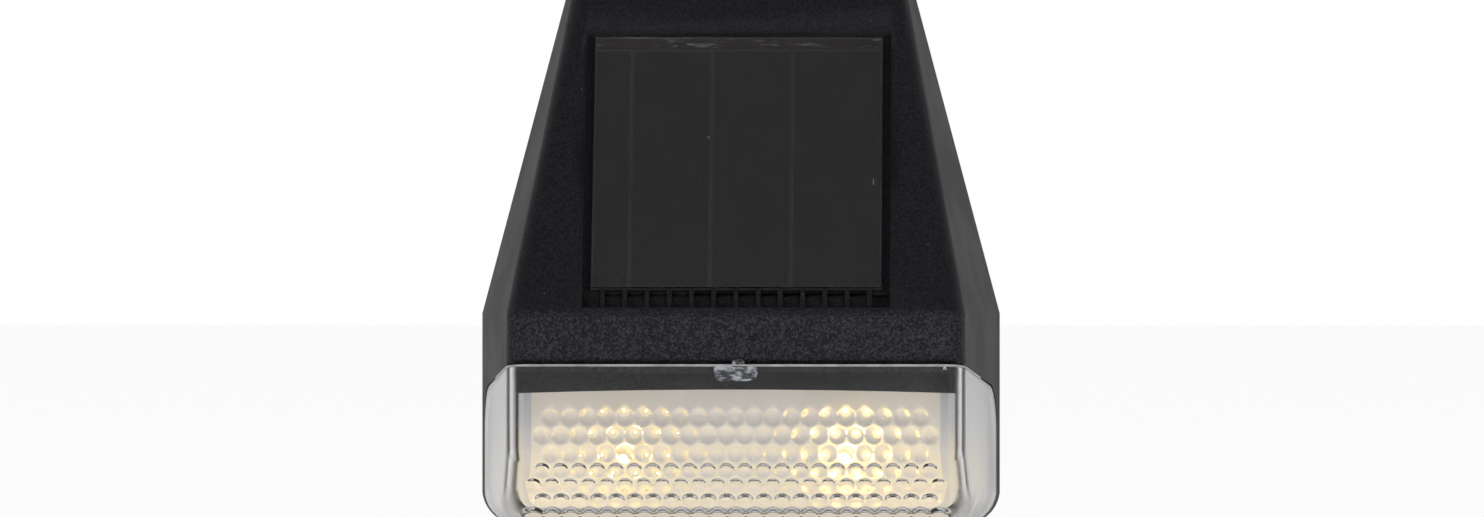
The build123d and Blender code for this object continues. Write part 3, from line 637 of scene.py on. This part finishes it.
def lensProfile(inset, share):
    # side view of the lens: upright front, crease, leaning face, round underside and flat bottom
    v = lensValues
    front = lensFront - inset
    rear = lensRear + v["rimRound"]
    top = v["seamHeight"] - v["seamGap"] - v["rimRound"]
    lean = math.radians(v["leanAngle"])
    crease = v["creaseHeight"] + inset * math.tan(lean / 2)
    toe = front - (crease - inset) * math.tan(lean)
    creaseRound = v["creaseRound"] - v["creaseLoss"] * inset
    underRound = v["underRound"] - inset
    creaseCut = creaseRound * math.tan(lean / 2)
    underCut = underRound * math.tan((math.pi / 2 - lean) / 2)
    lengths = (
        top - crease - creaseCut,
        creaseRound * lean,
        (crease - inset) / math.cos(lean) - creaseCut - underCut,
        underRound * (math.pi / 2 - lean),
        toe - underCut - rear,
    )
    headings = (0, 0, v["leanAngle"], v["leanAngle"], 90, 90)
    return turningPath((front, top), lengths, headings, share)


def seamPath(start, endHeight, share):
    # edge of the lens on its flank: back along the falling seam, round its corner and down behind
    v = lensValues
    fall = math.radians(v["seamFall"])
    rear = lensRear + v["rimRound"]
    cut = v["seamCorner"] * math.tan((math.pi / 2 - fall) / 2)
    cornerHeight = start[1] - (start[0] - rear) * math.tan(fall)
    lengths = (
        (start[0] - rear) / math.cos(fall) - cut,
        v["seamCorner"] * (math.pi / 2 - fall),
        cornerHeight - endHeight - cut,
    )
    headings = (90 - v["seamFall"], 90 - v["seamFall"], 0, 0)
    return turningPath(start, lengths, headings, share)


def pimpleRise(x, along):
    # height of the pimples over the inner face: the highest of the round caps of eight rows, each cap
    # a slice of a ball as wide as its radius and as high as its rise, alternate rows shifted by half a pitch
    v = pimpleValues
    rise = np.zeros(np.broadcast(x, along).shape)
    for row, (count, top) in enumerate(zip(v["rowCounts"], v["rises"])):
        last = (count - 1) / 2
        nearest = np.clip(np.round(x / v["pitch"] + last) - last, -last, last) * v["pitch"]
        flat = np.abs(np.abs(nearest) - v["flatAcross"]) < v["pitch"] / 2
        top = np.where(flat & (row == v["flatRow"]), v["flatRise"], top)
        ball = (v["radius"] ** 2 + top ** 2) / (2 * top)
        offset = (x - nearest) ** 2 + (along - v["firstRow"] - row * v["rowPitch"]) ** 2
        cap = np.sqrt(np.maximum(ball ** 2 - offset, 0)) - (ball - top)
        rise = np.maximum(rise, cap)
    return rise


def lensSkin(inset, share, pimpled):
    # one skin of the lens as a grid: from the middle across the front, round the side edge by its
    # radius, then over the flank towards the seam; the other half is its mirror
    v = lensValues
    depth, height, heading, along = lensProfile(inset, share)
    outDepth, outHeight = np.cos(heading), -np.sin(heading)
    turned = heading / (math.pi / 2)
    radius = v["frontRound"] + (v["bottomRound"] - v["frontRound"]) * turned ** 2 - inset
    draft = math.radians(v["draftAngle"])
    lastTurn = math.pi / 2 - draft
    half = halfWidth - inset / math.cos(draft)
    # the heading, averaged along the profile
    nearby = np.linspace(-v["rollBlend"], v["rollBlend"], lensGrid["blend"])
    blended = np.interp(along[:, None] + nearby, along, heading).mean(1)
    endDepth = depth - radius * (1 - math.cos(lastTurn)) * np.cos(blended)
    rollStart = half - endDepth * math.tan(draft) - radius * math.sin(lastTurn)

    across = np.linspace(0, 1, lensGrid["middle"])[:, None]
    x = across * rollStart
    rise = pimpleRise(x, along) if pimpled else np.zeros(x.shape)
    middle = np.stack((x, depth - rise * outDepth, height - rise * outHeight), -1)

    turn = np.linspace(0, lastTurn, lensGrid["roll"] + 1)[1:, None]
    rollDepth = depth - radius * (1 - np.cos(turn)) * np.cos(blended)
    rollHeight = height + radius * (1 - np.cos(turn)) * np.sin(blended)
    upper = np.clip((height - v["creaseHeight"]) / (height[0] - v["creaseHeight"]), 0, 1)
    rollHeight = rollHeight - (depth[0] - rollDepth) * math.tan(math.radians(v["seamFall"])) * upper
    roll = np.stack((rollStart + radius * np.sin(turn), rollDepth, rollHeight), -1)

    seamStart = (rollDepth[-1, 0], rollHeight[-1, 0])
    edgeDepth, edgeHeight, edgeHeading, _ = seamPath(seamStart, rollHeight[-1, -1], share)
    towards = np.linspace(0, 1, lensGrid["flank"] + 1)[1:, None]
    flankDepth = rollDepth[-1] + (edgeDepth - rollDepth[-1]) * towards
    flankHeight = rollHeight[-1] + (edgeHeight - rollHeight[-1]) * towards
    flank = np.stack((half - flankDepth * math.tan(draft), flankDepth, flankHeight), -1)

    right = np.concatenate((middle, roll, flank))
    left = right[:0:-1] * (-1, 1, 1)
    return np.concatenate((left, right)), edgeHeading


def edgeLoop(grid):
    # the grid's border, once round: upper edge, right side, lower edge backwards, left side upwards
    return np.concatenate((grid[:, 0], grid[-1, 1:], grid[-2::-1, -1], grid[0, -2:0:-1]))


def buildLens():
    # closed shell: outer skin, inner skin with its pimples, and a rounded rim between their borders
    v, p, g = lensValues, pimpleValues, lensGrid
    length = lensProfile(v["wall"], np.array([1.0]))[3][0]
    first = p["firstRow"] - p["radius"]
    last = p["firstRow"] + p["rowPitch"] * (len(p["rowCounts"]) - 1) + p["radius"]
    share = np.concatenate((
        np.linspace(0, first, g["upper"], endpoint=False),
        np.linspace(first, last, g["pimpled"], endpoint=False),
        np.linspace(last, length, g["rear"]),
    )) / length
    outer, edgeHeading = lensSkin(0.0, share, False)
    inner, _ = lensSkin(v["wall"], share, True)

    # the way that each place on the border faces, in depth and height
    out = np.zeros_like(outer)
    out[:, 0, 1:] = (-math.cos(edgeHeading[0]), math.sin(edgeHeading[0]))
    out[:, -1, 1:] = (-1.0, 0.0)
    for side in (0, -1):
        out[side, :, 1] = -np.cos(edgeHeading)
        out[side, :, 2] = np.sin(edgeHeading)
    outerEdge, innerEdge, outward = edgeLoop(outer), edgeLoop(inner), edgeLoop(out)
    inward = innerEdge - outerEdge
    inward /= np.linalg.norm(inward, axis=1, keepdims=True)
    turns = np.radians(v["rimTurns"])[:, None, None]
    near = v["rimRound"] * ((1 - np.cos(turns)) * inward + np.sin(turns) * outward)
    far = v["rimRound"] * ((np.cos(turns) - 1) * inward + np.sin(turns) * outward)
    rim = np.concatenate((outerEdge[None], outerEdge + near, (innerEdge + far)[::-1], innerEdge[None]))

    rows, columns = outer.shape[:2]
    points = np.concatenate((outer.reshape(-1, 3), inner.reshape(-1, 3), rim.reshape(-1, 3)))
    faces = np.concatenate((
        gridFaces(rows, columns),
        gridFaces(rows, columns, rows * columns),
        gridFaces(rim.shape[0], rim.shape[1], 2 * rows * columns, wrap=True),
    ))
    lens = makePiece("lensShell", points, faces, "clear", sharpAngle=55)
    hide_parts("lens")
    buildBead(outer)


def buildBead(outer):
    # matt edge of the lens, pale as a painted highlight line: a thin tube of round rings carried along the
    # upper edge and both seams
    v = lensValues
    flank, sides = lensGrid["flank"], v["beadSides"]
    front = outer[flank:len(outer) - flank, 0]
    seamEnd = int(v["beadEnd"] * outer.shape[1])
    path = np.concatenate((outer[0, seamEnd:0:-1], front, outer[-1, 1:seamEnd + 1]))
    apart = np.linalg.norm(np.diff(path, axis=0), axis=1) > v["beadStep"]
    path = path[np.concatenate(([True], apart))] + v["beadShift"]
    along = np.gradient(path, axis=0)
    along /= np.linalg.norm(along, axis=1, keepdims=True)
    side = np.cross(along, (0.0, 0.0, 1.0))
    side /= np.linalg.norm(side, axis=1, keepdims=True)
    upward = np.cross(side, along)
    around = np.linspace(0, 2 * math.pi, sides, endpoint=False)[None, :, None]
    circle = np.cos(around) * side[:, None] + np.sin(around) * upward[:, None]
    rings = path[:, None] + v["beadRadius"] * circle
    start, end = (np.repeat(path[i][None, None], sides, axis=1) for i in (0, -1))
    tube = np.concatenate((start, rings, end))
    makePiece("lensEdge", tube.reshape(-1, 3), gridFaces(len(tube), sides, wrap=True), "edge",
              sharpAngle=60)


lensLow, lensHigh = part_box("lens")
gateProud = 0.25  # of the gate's pad over the lens's front, mm
lensFront = -lensLow.y / mm - gateProud
lensRear = -lensHigh.y / mm
buildLens()
print("lens built")


# ---- gate scar at the middle of the lens's upper edge ----
gateValues = {
    # each lump's place across, out from the lens's front and up from the pad's top; its sizes the same way
    "gatePad": {"place": (0.0, -0.02, -1.45), "sizes": (7.4, 0.2, 2.9), "squareness": 5.0, "rough": 0.5,
                "seed": 3, "finish": "frosted"},
    "gateNub": {"place": (0.5, -0.35, 0.45), "sizes": (1.9, 0.3, 1.5), "squareness": 2.4, "rough": 0.9,
                "seed": 11, "finish": "frosted"},
    "gateDot": {"place": (2.9, 0.05, -1.914), "sizes": (1.1, 0.15, 1.1), "squareness": 2.0, "rough": 0.4,
                "seed": 17, "finish": "clear"},
}
tornValues = {
    "drop": 0.2,  # of the pad's top below the lens's edge
    "spare": 0.02,  # the lumps stay this far inside the pad's front
    "rings": 24,
    "sides": 48,
    "frontWaves": 2.2,
    "sideWaves": 2.0,
    "sideShare": 0.15,
    "waves": (2.0, 3.7, 6.1, 9.0),
    "wavesEach": 4,
}


def brokenSurface(first, second, seed):
    # a sum of waves in seeded directions, whose heights fall with their wave length
    random = np.random.default_rng(seed)
    total = np.zeros(np.broadcast(first, second).shape)
    for waves in tornValues["waves"]:
        for _ in range(tornValues["wavesEach"]):
            angle, phase = random.uniform(0, 2 * math.pi, 2)
            total += np.sin(waves * (first * math.cos(angle) + second * math.sin(angle)) + phase) / waves
    return total


def squared(value, power):
    # a sine or cosine raised to a power under one, with its sign kept: its circle becomes a rounded square
    return np.sign(value) * np.abs(value) ** power


def buildLump(name, place, sizes, squareness, rough, seed, finish):
    # closed lump: a ball stretched to its sizes, its outline squared, with broken waves on its front
    t = tornValues
    down, around = np.meshgrid(np.linspace(0, math.pi, t["rings"]),
                               np.linspace(0, 2 * math.pi, t["sides"], endpoint=False), indexing="ij")
    power = 2 / squareness
    x = np.sin(down) ** power * squared(np.cos(around), power)
    z = np.sin(down) ** power * squared(np.sin(around), power)
    face = np.cos(down)
    front, side = t["frontWaves"], t["sideWaves"]
    broken = 1 + rough * brokenSurface(x * front, z * front, seed) * np.sin(down) ** 0.5
    uneven = 1 + t["sideShare"] * rough * brokenSurface(z * side, face * side, seed + 1)
    across, depth, height = place
    points = np.stack((
        across + x * sizes[0] / 2 * uneven,
        np.minimum(lensFront + depth + face * sizes[1] * broken, lensFront + gateProud - t["spare"]),
        lensValues["seamHeight"] - t["drop"] + height + z * sizes[2] / 2,
    ), -1).reshape(-1, 3)
    makePiece(name, points, gridFaces(t["rings"], t["sides"], wrap=True), finish)


for name, values in gateValues.items():
    buildLump(name, **values)
print("gate scar built")


# ---- casing and reflector ----
smoothCopy("casingShell", "front_housing", "casing")
smoothCopy("rearCover", "back_cover", "casing")
smoothCopy("reflectorShell", "reflector", "reflector", sharpAngle=25)
print("casing and reflector copied")


# ---- solar panel ----
def plateFrame(node):
    # the plate's own axes, from its largest faces, and its reach along each: across, up the slope, outwards
    mesh = cadNodes[node].data
    normals = np.zeros(len(mesh.polygons) * 3)
    areas = np.zeros(len(mesh.polygons))
    mesh.polygons.foreach_get("normal", normals)
    mesh.polygons.foreach_get("area", areas)
    normals = normals.reshape(-1, 3)
    facing = normals[:, 1] < -0.3  # forwards
    outward = normals[facing][np.argmax(areas[facing])]
    upwards = np.cross((1.0, 0.0, 0.0), -outward)
    upwards *= np.sign(upwards[2])
    places = np.zeros(len(mesh.vertices) * 3)
    mesh.vertices.foreach_get("co", places)
    axes = np.stack(((1.0, 0.0, 0.0), upwards, outward))
    reach = places.reshape(-1, 3) @ axes.T
    return axes, reach.min(0) / mm, reach.max(0) / mm


glassValues = {"gap": 0.03, "edgeRound": 0.18, "roundSteps": 4}


def plate(name, node, finish):
    # a flat slab in the plate's own axes: its outline, drawn in by a quarter circle at both faces and stacked
    # through its thickness
    axes, low, high = plateFrame(node)
    centre, half = (low + high) / 2, (high - low) / 2
    half[2] -= glassValues["gap"] / 2
    centre[2] += glassValues["gap"] / 2
    r = glassValues["edgeRound"]
    turns = np.linspace(0, math.pi / 2, glassValues["roundSteps"])
    sideIn = np.concatenate((r * (1 - np.sin(turns)), r * (1 - np.cos(turns))))
    level = np.concatenate((half[2] - r + r * np.cos(turns), -(half[2] - r) - r * np.sin(turns)))
    corners = np.array(((1, 1), (-1, 1), (-1, -1), (1, -1)))
    outlines = corners[None] * (half[:2] - sideIn[:, None])[:, None]
    levels = np.broadcast_to(level[:, None, None], (len(level), len(corners), 1))
    local = np.concatenate((outlines, levels), -1).reshape(-1, 3) + centre
    world = local @ axes
    points = np.column_stack((world[:, 0], -world[:, 1], world[:, 2] - bottomZ))
    sides = gridFaces(len(level), len(corners), wrap=True)
    cap = np.arange(len(corners))
    caps = np.stack((cap, cap + len(points) - len(corners)))
    piece = makePiece(name, points, np.concatenate((sides, caps)), finish, sharpAngle=20)
    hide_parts(node)
    return piece


plate("panelCover", "solar_glass", "glass")
print("panel cover built")


# ---- lit LEDs ----
ledValues = {
    "radius": 2.5,
    "flange": 2.9,
    "flangeThickness": 1.0,
    "flangeRound": 0.15,
    "cupLip": 0.1,
    "domeSteps": 10,
    "segments": 40,
}


def buildLed(node, finish):
    # turned body: the side view of a flange, a straight barrel and a round dome with the die's cup in it,
    # carried once round its axis
    v = ledValues
    low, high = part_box(node)
    base, tip = -high.y / mm, -low.y / mm
    centreX = (low.x + high.x) / 2 / mm
    centreHeight = (low.z + high.z) / 2 / mm - bottomZ
    core, cup = ledGlowValues[node]["core"], ledGlowValues["cupDepth"]
    flange, thick, cut = v["flange"], v["flangeThickness"], v["flangeRound"]
    turns = np.linspace(0, math.acos(core / v["radius"]), v["domeSteps"])
    dome = tip - base - v["radius"] + v["radius"] * np.sin(turns)
    radii = np.concatenate(((0, flange - cut, flange, flange, flange - cut), v["radius"] * np.cos(turns),
                            (core, core, 0)))
    depths = np.concatenate(((0, 0, cut, thick - cut, thick), dome,
                             (dome[-1] - v["cupLip"], dome[-1] - cup, dome[-1] - cup))) + base
    around = np.linspace(0, 2 * math.pi, v["segments"], endpoint=False)
    points = np.stack((
        centreX + radii[:, None] * np.cos(around),
        depths[:, None] + 0 * around,
        centreHeight + radii[:, None] * np.sin(around),
    ), -1).reshape(-1, 3)
    piece = makePiece(node + "_lit", points, gridFaces(len(radii), v["segments"], wrap=True), finish,
                      sharpAngle=40)
    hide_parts(node)


buildLed("led_left", "ledLeft")
buildLed("led_right", "ledRight")
print("LEDs built")


# ---- ON and OFF beside the switch window ----
markValues = {"size": 3.0, "thickness": 0.06, "proud": 0.02, "reach": 6.2, "height": 14.0}


def buildMark(word, side):
    # printed letters on the back, read from behind the light
    v = markValues
    curve = bpy.data.curves.new("mark" + word, "FONT")
    curve.body = word
    curve.size = v["size"] * mm
    curve.extrude = v["thickness"] * mm / 2
    curve.align_x = "CENTER"
    curve.align_y = "CENTER"
    letters = bpy.data.objects.new("mark" + word, curve)
    bpy.context.scene.collection.objects.link(letters)
    bpy.context.view_layer.update()
    mesh = bpy.data.meshes.new_from_object(letters)
    bpy.data.objects.remove(letters)
    place = Vector((side * v["reach"], v["proud"] - v["thickness"] / 2, v["height"] + bottomZ)) * mm
    upright = Matrix.Rotation(math.pi / 2, 4, "X")
    mesh.transform(Matrix.Translation(place) @ Matrix.Rotation(math.pi, 4, "Z") @ upright)
    placePiece("mark" + word, mesh, "marks", "light", 30)


buildMark("ON", -1)  # the lit light's knob stands on this side
buildMark("OFF", 1)
print("marks built")


# ---- finishes of the CAD nodes that stay ----
nodeFinishes = {
    "cover_gasket": "rubber",
    "cover_screws": "steel",
    "board_screws": "steel",
    "panel_tape": "tape",
    "panel_backing": "backing",
    "solar_cells": "cells",
    "panel_busbar": "busbar",
    "panel_terminals": "tin",
    "circuit_board": "board",
    "led_pins": "tin",
    "driver_chip": "chip",
    "driver_coil": "copper",
    "storage_capacitor": "aluminium",
    "switch_body": "chip",
    "switch_frame": "steel",
    "switch_slider": "knob",
    "switch_pins": "tin",
    "battery_cell": "sleeve",
    "battery_cap": "steel",
    "battery_contact_minus": "steel",
    "battery_contact_plus": "steel",
    "battery_spring": "steel",
    "solar_lead_black": "blackLead",
    "solar_lead_red": "redLead",
    "battery_lead_black": "blackLead",
    "battery_lead_red": "redLead",
}
for node, finish in nodeFinishes.items():
    cadNodes[node].data.materials.clear()
    cadNodes[node].data.materials.append(finishes[finish])
print("finishes given to", len(nodeFinishes), "nodes")


# ---- stage and light ----
stageValues = {
    "floor": (0.86, 0.86, 0.86),
    "floorMottle": 40,
    "floorShade": 0.98,
    "floorRoughness": 0.9,
    "floorSpecular": 0.1,
    "floorWhite": 0.94,  # share of plain white that the viewer sees in the floor
    "underShare": 0.60,  # how much of it gloss and glass still find in the object's own shadow
    "underReach": (0.045, 0.08),  # m
    "shinyWhite": 0.68,
    "throughGlass": 0.30,  # least brightness of the surroundings as seen through glass
    "floorSize": 6.0,  # m, to each side
    "whiteFrom": (-0.16, -0.10),  # the floor's white in gloss and glass begins this far in front, m
    "behind": 0.72,  # brightness of the world behind the light, in front of it, and at its sides and overhead
    "front": 0.34,
    "around": 0.08,
    "behindFrom": (0.0, 0.35),  # how far back a direction points
    "frontFrom": (-0.55, -0.95),  # and how far forwards
}
lampValues = (
    # name, place, size, power, whether it shows in gloss
    ("frontLeft", (-1.0, -1.2, 1.0), 0.8, 11.0, False),
    ("frontRight", (1.0, -1.2, 1.0), 0.8, 10.0, False),
    ("glint", (0.2, -1.6, 0.42), 0.30, 3.0, True),
)


def whiteShare(tree, behind):
    # one where the viewer sees the background straight; in gloss a share of it, from behind alone;
    # through glass the same share, but nowhere less than the least brightness
    rays = tree.nodes.new("ShaderNodeLightPath")
    white = mathNode(tree, "MULTIPLY", behind, stageValues["shinyWhite"])
    glossy = mathNode(tree, "MULTIPLY", rays.outputs["Is Glossy Ray"], white)
    least = mathNode(tree, "MAXIMUM", white, stageValues["throughGlass"])
    glass = mathNode(tree, "MULTIPLY", rays.outputs["Is Transmission Ray"], least)
    return mathNode(tree, "MAXIMUM", rays.outputs["Is Camera Ray"], mathNode(tree, "MAXIMUM", glossy, glass))


def buildFloor():
    # one pale square under the light, which the viewer sees nearly white
    v = stageValues
    size, level = v["floorSize"], atHeight(0)
    corners = [(x * size, y * size, level) for x, y in ((-1, -1), (1, -1), (1, 1), (-1, 1))]
    mesh = bpy.data.meshes.new("floor")
    mesh.from_pydata(corners, [], [(0, 1, 2, 3)])
    material, tree, shader = newMaterial("paleFloor")
    place = objectPlace(tree)
    mottle = noise(tree, place, v["floorMottle"], detail=3)
    shade = tuple(part * v["floorShade"] for part in v["floor"])
    color = mixColor(tree, mapRange(tree, mottle, *glossSpan), shade, v["floor"])
    setSockets(tree, shader, Base_Color=color, Roughness=v["floorRoughness"],
               Specular_IOR_Level=v["floorSpecular"])
    white = addNode(tree, "ShaderNodeEmission", Color=(1, 1, 1), Strength=1.0)
    away = distance(tree, place, (0, -halfWidth * mm / 2, level))
    shadow = mapRange(tree, away, *v["underReach"], v["underShare"], 1)
    back = mapRange(tree, coordinates(tree, place)["Y"], *v["whiteFrom"])
    behind = mathNode(tree, "MULTIPLY", back, shadow)
    share = mathNode(tree, "MULTIPLY", whiteShare(tree, behind), v["floorWhite"])
    mix = tree.nodes.new("ShaderNodeMixShader")
    connect(tree, mix.inputs[0], share)
    connect(tree, mix.inputs[1], shader.outputs[0])
    connect(tree, mix.inputs[2], white.outputs[0])
    tree.links.new(mix.outputs[0], tree.nodes["Material Output"].inputs["Surface"])
    mesh.materials.append(material)
    floor = bpy.data.objects.new("floor", mesh)
    bpy.context.scene.collection.objects.link(floor)


def buildWorld():
    # white to the viewer, and behind the object also as light, in gloss and through glass;
    # plainer straight in front of it, and dim at its sides and overhead
    world = bpy.data.worlds.new("studio")
    bpy.context.scene.world = world
    world.use_nodes = True
    tree = world.node_tree
    background = tree.nodes["Background"]
    way = coordinates(tree, tree.nodes.new("ShaderNodeTexCoord").outputs["Generated"])["Y"]
    v = stageValues
    front = mapRange(tree, way, *v["frontFrom"], v["around"], v["front"])
    behind = mapRange(tree, way, *v["behindFrom"])
    light = mathNode(tree, "MAXIMUM", front, mathNode(tree, "MULTIPLY", behind, v["behind"]))
    strength = mathNode(tree, "MAXIMUM", light, whiteShare(tree, behind))
    setSockets(tree, background, Color=(1, 1, 1), Strength=strength)


def buildLamps():
    # square area lamps, all turned to the frame's origin on the fence face
    for name, place, size, power, inGloss in lampValues:
        data = bpy.data.lights.new(name, "AREA")
        data.shape = "SQUARE"
        data.size = size
        data.energy = power
        lamp = bpy.data.objects.new(name, data)
        lamp.location = place
        lamp.visible_glossy = inGloss
        lamp.visible_transmission = inGloss
        lamp.rotation_euler = (-Vector(place)).to_track_quat("-Z", "Y").to_euler()
        bpy.context.scene.collection.objects.link(lamp)


buildFloor()
buildWorld()
buildLamps()
print("stage and light set")
